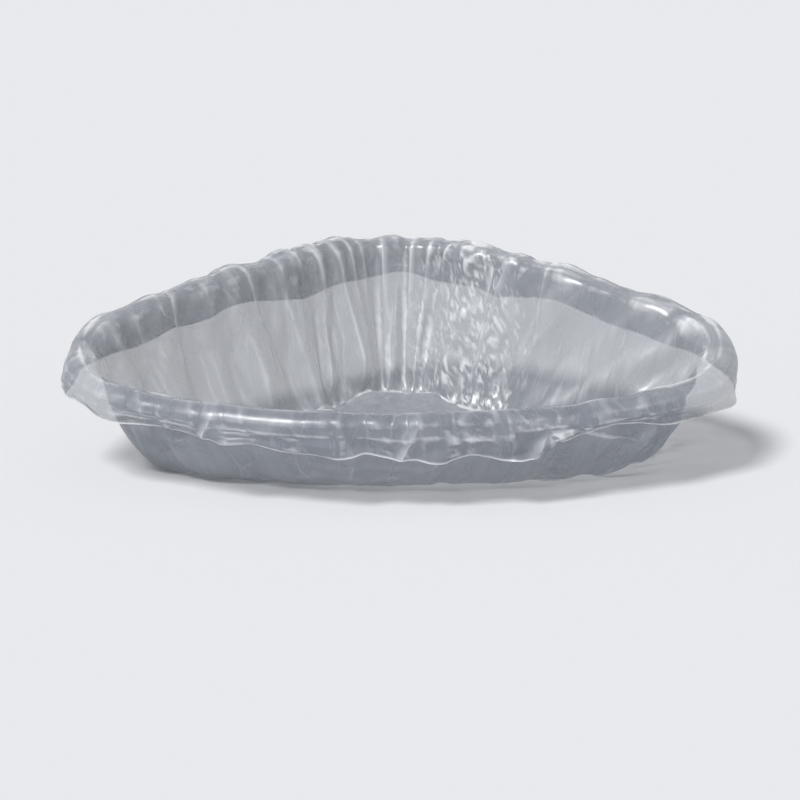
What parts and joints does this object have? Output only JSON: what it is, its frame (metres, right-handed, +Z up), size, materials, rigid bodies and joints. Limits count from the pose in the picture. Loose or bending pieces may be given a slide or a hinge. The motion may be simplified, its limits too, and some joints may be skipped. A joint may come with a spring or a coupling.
{
  "type": "litter tray liner",
  "caption": "Loose translucent film bag opened out to line a corner litter tray, with gathered walls and its mouth turned down over the tray's rim.",
  "frame": {"origin": "middle of the outline, on the floor's underside", "axes": "+X across the tray to the right, +Y to the square back corner, +Z up"},
  "size_m": [0.564, 0.4332, 0.1479],
  "materials": {
    "film": "thin hazy see-through polyethylene film, glossy on its folds"
  },
  "bodies": {
    "root": {"liner": "film"}
  },
  "joints": []
}
